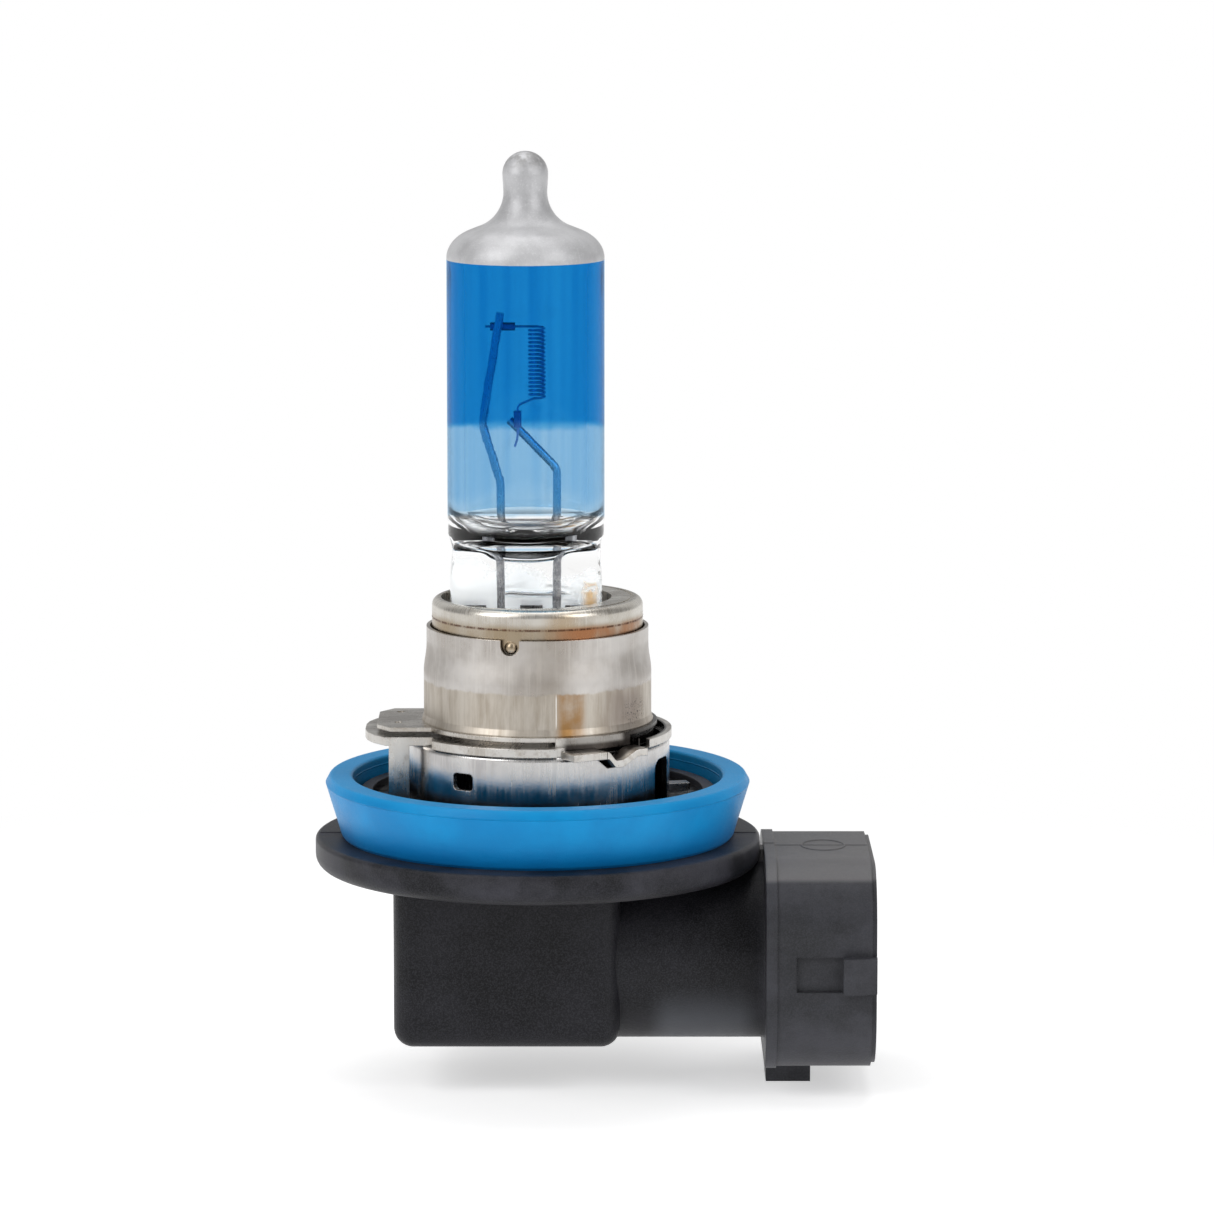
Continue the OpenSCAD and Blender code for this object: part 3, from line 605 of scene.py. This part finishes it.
def outer_ring(z, t=0.0):
    """Outside of the glass: the press closes higher up at the sides than in the middle."""
    if z >= PINCH_Z[1] + PINCH_ARC:
        return section(z, TUBE_R, t)
    half_y, half_x, weight = pressed(z)
    across, through = weight * half_x ** -CORNER, weight * half_y ** -CORNER
    rough = ease(z, 3.2, 4.2) * (1 - ease(z, 13.8, 14.7))
    ring = []
    for a in ANGLES:
        off_axis = (reach(a, TUBE_R, across, through) + t) * math.cos(a)
        lifted_y, _, lifted = pressed(z - PINCH_ARC * (off_axis / TUBE_R) ** 2)
        distance = reach(a, TUBE_R, across, lifted * lifted_y ** -CORNER) + t
        x, y, _ = at(a, distance, z)
        if y > 0:
            inside = min(z - GROOVE_Z[0], GROOVE_Z[1] - z) / GROOVE_EDGE
            ends = 1 - ease(abs(x - TUBE_X - GROOVE_X), GROOVE_HALF - 0.3, GROOVE_HALF + 0.3)
            y -= GROOVE_DEPTH * min(1.0, max(0.0, inside)) * ends
        side = ease(abs(x - TUBE_X), 4.3, 5.2)
        wave = vnoise.noise(Vector((x * 0.4, y * 0.9, z * 1.5))) * SIDE_WAVE * rough * side
        face = vnoise.noise(Vector((x * 0.35, y * 0.5 + 7, z * 0.45))) * FACE_WAVE * rough * (1 - side)
        ring.append((x - abs(wave) * (1 if x > TUBE_X else -1),
                     y - abs(face) * (1 if y > 0 else -1), z))
    return ring


def glass_body():
    """The whole envelope: its outside, and the gas space with a bowl-shaped foot."""
    # every 0.2 mm to just above the pinch, with four more for the groove, and then the straight tube
    heights = sorted([FOOT_Z + 0.2 * i for i in range(66)] + [10.05, 10.1, 10.25, 10.3])
    heights += [16.5, 17.5, 20, 24, 28, 31, 33, 33.8]
    rings = [outer_ring(z) for z in heights]
    rings[0] = [(TUBE_X + (x - TUBE_X) * 0.96, y * 0.9, z) for x, y, z in rings[0]]
    rings += [section(z, max(r, 0.02)) for r, z in top_outline(0)[:-1]]
    points, faces = skin(rings)
    bowl = [(0.3, 14.55), (1.2, 14.56), (2.1, 14.6), (2.7, 14.68), (2.95, 14.8), (3.1, 14.95),
            (3.3, 15.12), (3.65, 15.35), (4.0, 15.6), (4.2, 15.85)]
    cavity = []
    for r, z in bowl:
        half_y = max(0.2, pressed(z)[0] - 0.75)
        through = (1 - ease(z, 14.9, 16.0)) * half_y ** -BOWL_CORNER
        cavity.append([at(a, reach(a, r, 0.0, through, BOWL_CORNER), z) for a in ANGLES])
    cavity += [section(z, BORE_R) for z in (16.1, 16.6, 18, 22, 26, 30, 33)]
    cavity += [section(z, r) for r, z in oval(SHOULDER_X, SHOULDER_Z, 2.15, 1.2, 0, 80, 12)]
    cavity += [section(z, r) for r, z in ((1.6, 35.5), (0.95, 35.65), (0.6, 35.95), (0.5, 37),
                                          (0.4, 39.4), (0.25, 39.85), (0.05, 39.98))]
    more, inner = skin(cavity, len(points), flip=True)
    return points + more, faces + inner


glass_piece = piece("glass_body", *glass_body(), "glass")
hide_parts("glass_envelope")

COAT_LOW = 15.6
COAT_JOIN = 34.15
COAT_OUT = 0.05  # the coatings' outer face above the glass
coat_heights = [COAT_LOW + 0.1 * i for i in range(6)]
coat_heights += [16.5, 18, 20, 22, 24, 27, 30, 32, 33.4, COAT_JOIN]
coat = piece("blue_filter_layer", *shell([outer_ring(z, COAT_OUT) for z in coat_heights],
                                         [outer_ring(z, 0.02) for z in coat_heights]),
             "blue_coating", sharp=50)
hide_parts("blue_coating")

tip_rings = [[section(COAT_JOIN, TUBE_R, t)] + [section(z, max(r, 0.02)) for r, z in top_outline(t)[:-1]]
             for t in (COAT_OUT, 0.015)]
tip = piece("grey_tip_layer", *shell(*tip_rings), "tip_coating", sharp=50)
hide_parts("tip_coating")

# ---------------------------------------------------------------- filament and leads

COIL_R = 0.57
COIL_Z = (24.35, 29.35)
TURNS = 17.5
TAIL_X = -1.38
COIL_WIRE_R = 0.08
LEAD_R = 0.3


def filament_path():
    """Lower tail, coil and upper tail of the filament."""
    path = smooth_path([(TAIL_X - 0.2, -COIL_R, 20.9), (TAIL_X, -COIL_R, 21.6),
                        (TAIL_X, -COIL_R, COIL_Z[0] - 0.5), (-0.2, -COIL_R, COIL_Z[0])], 0.3)
    steps = 36
    count = int(TURNS * steps)
    for i in range(count + 1):
        a = math.radians(-90 + 360 * i / steps)
        path.append(Vector((COIL_R * math.cos(a), COIL_R * math.sin(a),
                            COIL_Z[0] + (COIL_Z[1] - COIL_Z[0]) * i / count)))
    path += [Vector((-0.5, COIL_R, COIL_Z[1])), Vector((-2, COIL_R, COIL_Z[1])),
             Vector((-3.7, COIL_R, COIL_Z[1]))]
    return path


coil = piece("coiled_filament", *tube(filament_path(), COIL_WIRE_R, 12), "tungsten", sharp=60)
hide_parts("filament")

LEADS = {
    "long_lead": ("long_lead_wire", [(-2.6, -0.1, 30.35), (-3.9, -0.1, 22.45), (-2.6, 0, 18.25),
                                     (-2.6, 0, -1.5), (-2.6, 2.3, -7), (-2.6, 2.3, -11)]),
    "short_lead": ("short_lead_wire", [(-1.97, 0.1, 22.75), (1.4, 0, 19.3), (1.4, 0, -1.5),
                                       (1.4, -2.3, -7), (1.4, -2.3, -11)]),
}
for lead_name, (node_name, corners) in LEADS.items():
    route = smooth_path(corners, 0.4)
    wire = piece(lead_name, *tube(route, LEAD_R, 28, Vector((0.05, 1, 0.02))), "lead_metal", sharp=50)
    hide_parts(node_name)

# ---------------------------------------------------------------- small details

COLLAR_R = 7.53
WELD_Z = 8.69
WELD_PLACES = 104
WELD_GAPS = 0.2  # share of the places without a bead


def weld_beads():
    """Row of flat beads left by the laser round the collar."""
    points, faces = [], []
    across, up = 6, 4
    for i in range(WELD_PLACES):
        if random.random() < WELD_GAPS:
            continue
        a = math.radians(i * 360 / WELD_PLACES + random.uniform(-0.6, 0.6))
        half_w, half_h = random.uniform(0.10, 0.2), random.uniform(0.05, 0.08)
        middle = WELD_Z + random.uniform(-0.02, 0.02)
        first = len(points)
        for r in range(up + 1):
            for c in range(across + 1):
                u, v = 2 * c / across - 1, 2 * r / up - 1
                rise = math.sqrt(max(0.0, 1 - 0.5 * u * u)) * v
                swell = max(0.0, 1 - u * u) * max(0.0, 1 - v * v)
                radius = COLLAR_R - 0.015 + 0.04 * swell
                turn = a + u * half_w / COLLAR_R
                points.append((radius * math.cos(turn), radius * math.sin(turn), middle + rise * half_h))
        for r in range(up):
            for c in range(across):
                p = first + r * (across + 1) + c
                faces.append((p, p + 1, p + across + 2, p + across + 1))
        rim = [first + c for c in range(across)]
        rim += [first + r * (across + 1) + across for r in range(up)]
        rim += [first + up * (across + 1) + c for c in range(across, 0, -1)]
        rim += [first + r * (across + 1) for r in range(up, 0, -1)]
        faces.append(tuple(reversed(rim)))
    return points, faces


piece("laser_weld", *weld_beads(), "ring_steel", sharp=60)


def ridge(route, width, height):
    """Three-sided raised line in the plane Y = 0. Each point of its route has X, Z and the way out."""
    sunk = 0.04
    points, faces = [], []
    for x, z, out_x, out_z in route:
        points += [(x - sunk * out_x, -width / 2, z - sunk * out_z),
                   (x + height * out_x, 0, z + height * out_z),
                   (x - sunk * out_x, width / 2, z - sunk * out_z)]
    for i in range(len(route) - 1):
        for j in range(3):
            k = (j + 1) % 3
            faces.append((3 * i + j, 3 * i + k, 3 * i + 3 + k, 3 * i + 3 + j))
    last = 3 * (len(route) - 1)
    faces += [(2, 1, 0), (last, last + 1, last + 2)]
    return points, faces


PLATE_TOP = -7.925  # top of the plate at the root of the connector shell
SHELL_TOP = -8.075

for seam_name, seam_route in {
    "parting_line_left": [(-15.85, -7.3, -0.7, 0.7), (-15.6, -7.15, 0, 1), (-14.0, -7.15, 0, 1)],
    "parting_line_right": [(15.85, -7.3, 0.7, 0.7), (15.6, -7.15, 0, 1), (14.0, -7.15, 0, 1)],
    "parting_line_shell": [(16.25, PLATE_TOP, 0, 1), (17.0, PLATE_TOP, 0, 1), (17.02, SHELL_TOP, 0, 1),
                           (23.68, SHELL_TOP, 0, 1)],
}.items():
    piece(seam_name, *ridge(seam_route, width=0.16, height=0.05), "base_plastic", sharp=30)


def oval_mark():
    """Plain raised oval rim on the top of the connector shell."""
    round_steps, rim_steps = 72, 8
    points, faces = [], []
    for i in range(round_steps):
        a = 2 * math.pi * i / round_steps
        c, s = math.cos(a), math.sin(a)
        for j in range(rim_steps):
            b = 2 * math.pi * j / rim_steps
            grow = 0.09 * math.cos(b)
            points.append((20.5 + (1.55 + grow) * c, (1.9 + grow) * s, SHELL_TOP + 0.07 * math.sin(b)))
            k, n = (j + 1) % rim_steps, (i + 1) % round_steps
            faces.append((rim_steps * i + j, rim_steps * n + j, rim_steps * n + k, rim_steps * i + k))
    return points, faces


piece("oval_mould_mark", *oval_mark(), "base_plastic")

# ---------------------------------------------------------------- studio

def world():
    """White for the camera. Gloss sees light boxes, and glass sees dark flags and dark above and below."""
    made = bpy.data.worlds.new("studio")
    bpy.context.scene.world = made
    made.use_nodes = True
    tree = made.node_tree
    tree.nodes.clear()
    coords = add(tree, "TexCoord").outputs["Generated"]
    x, y, z = add(tree, "SeparateXYZ", {0: coords}).outputs

    def calc(operation, a, b=0.0):
        return add(tree, "Math", {0: a, 1: b}, operation=operation).outputs[0]

    def span(value, low, high, to_low=0.0, to_high=1.0):
        return add(tree, "MapRange", {0: value, 1: low, 2: high, 3: to_low, 4: to_high},
                   interpolation_type="SMOOTHSTEP").outputs[0]

    azimuth = calc("MULTIPLY", calc("ARCTAN2", y, x), 180 / math.pi)

    def strip(middle, half, soft, top=0.6):
        """1 inside a stretch of azimuth below a height, 0 outside it."""
        inside = calc("MULTIPLY", span(azimuth, middle - half - soft, middle - half + soft),
                      span(azimuth, middle + half - soft, middle + half + soft, 1, 0))
        return calc("MULTIPLY", inside, span(z, top, top + 0.2, 1, 0))

    boxes = calc("ADD", strip(-143, 22, 9, 0.9), strip(-35, 20, 9, 0.9))
    rear = calc("ADD", strip(60, 24, 10), strip(122, 22, 10))
    gloss = calc("ADD", calc("MULTIPLY", boxes, 0.7), calc("MULTIPLY", rear, 0.35))
    gloss = calc("ADD", gloss, calc("MULTIPLY", span(z, 0.72, 0.95), 0.5))
    gloss = calc("ADD", gloss, 0.34)
    flags = calc("ADD", calc("ADD", strip(44, 5, 2, 2), strip(136, 5, 2, 2)),
                 calc("ADD", strip(-44, 5, 2, 2), strip(-136, 5, 2, 2)))
    through = calc("SUBTRACT", 1.0, calc("MULTIPLY", flags, 0.8))
    steep = span(calc("ABSOLUTE", z), 0.45, 0.7, 1, 0)
    through = calc("ADD", 0.04, calc("MULTIPLY", calc("MULTIPLY", steep, through), 0.96))
    path = add(tree, "LightPath")
    strength = add(tree, "Mix", {0: path.outputs["Is Glossy Ray"], 2: 0.32, 3: gloss},
                   data_type="FLOAT").outputs[0]
    strength = add(tree, "Mix", {0: path.outputs["Is Transmission Ray"], 2: strength, 3: through},
                   data_type="FLOAT").outputs[0]
    strength = add(tree, "Mix", {0: path.outputs["Is Camera Ray"], 2: strength, 3: 1.0},
                   data_type="FLOAT").outputs[0]
    back = add(tree, "Background", {"Color": (1, 1, 1, 1), "Strength": strength})
    add(tree, "OutputWorld", {"Surface": back.outputs[0]})


def area_light(name, azimuth, elevation, distance, width, height, watts):
    """Rectangular lamp that points at the camera's target."""
    data = bpy.data.lights.new(name, "AREA")
    data.shape = "RECTANGLE"
    data.size = width
    data.size_y = height
    data.energy = watts
    made = bpy.data.objects.new(name, data)
    a, e = math.radians(azimuth), math.radians(elevation)
    way = Vector((math.cos(a) * math.cos(e), math.sin(a) * math.cos(e), math.sin(e)))
    made.location = TARGET + way * distance
    made.rotation_euler = way.to_track_quat("Z", "Y").to_euler()
    bpy.context.scene.collection.objects.link(made)


world()
area_light("key", -140, 35, 0.40, 0.20, 0.28, 0.55)
area_light("fill", -42, 28, 0.42, 0.18, 0.28, 0.38)
area_light("top", 90, 75, 0.40, 0.30, 0.30, 0.5)


def floor(z):
    """Pale paper under the part, which looks dark close to the part for rays that come through glass."""
    size, steps = 2500.0, 8
    points = [(size * (2 * i / steps - 1), size * (2 * j / steps - 1), z)
              for j in range(steps + 1) for i in range(steps + 1)]
    corners = [j * (steps + 1) + i for j in range(steps) for i in range(steps)]
    faces = [(c, c + 1, c + steps + 2, c + steps + 1) for c in corners]
    mesh = bpy.data.meshes.new("studio_floor")
    mesh.from_pydata([Vector(p) * MM for p in points], [], faces)
    made = bpy.data.objects.new("studio_floor", mesh)
    bpy.context.scene.collection.objects.link(made)
    g = Graph("floor_paper")
    fibre = g.noise(0.8, seed=1, detail=3)
    colour = g.mix(g.span(fibre, 0.3, 0.7), (0.93, 0.93, 0.935, 1), (0.95, 0.95, 0.955, 1))
    paper = g.add("BsdfPrincipled", {"Base Color": colour, "Roughness": g.span(fibre, 0.3, 0.7, 0.85, 0.95),
                                     "Specular IOR Level": 0.1, "Emission Color": (1, 1, 1, 1),
                                     "Emission Strength": 0.5})
    bent = g.times(g.add("LightPath").outputs["Is Transmission Ray"], 0.93)
    glow_share = g.math("SUBTRACT", 1.0, g.times(bent, g.span(g.radius, 45, 85, 1, 0)))
    glow = g.add("Emission", {"Color": (1, 1, 1, 1), "Strength": glow_share})
    paper = g.add("MixShader", {0: bent, 1: paper.outputs[0], 2: glow.outputs[0]})
    far = g.span(g.radius, 35, 110)
    g.end(g.add("MixShader", {0: far, 1: paper.outputs[0], 2: glow.outputs[0]}).outputs[0])
    mesh.materials.append(g.material)


floor(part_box("base_housing")[0].z / MM)

bpy.context.view_layer.update()
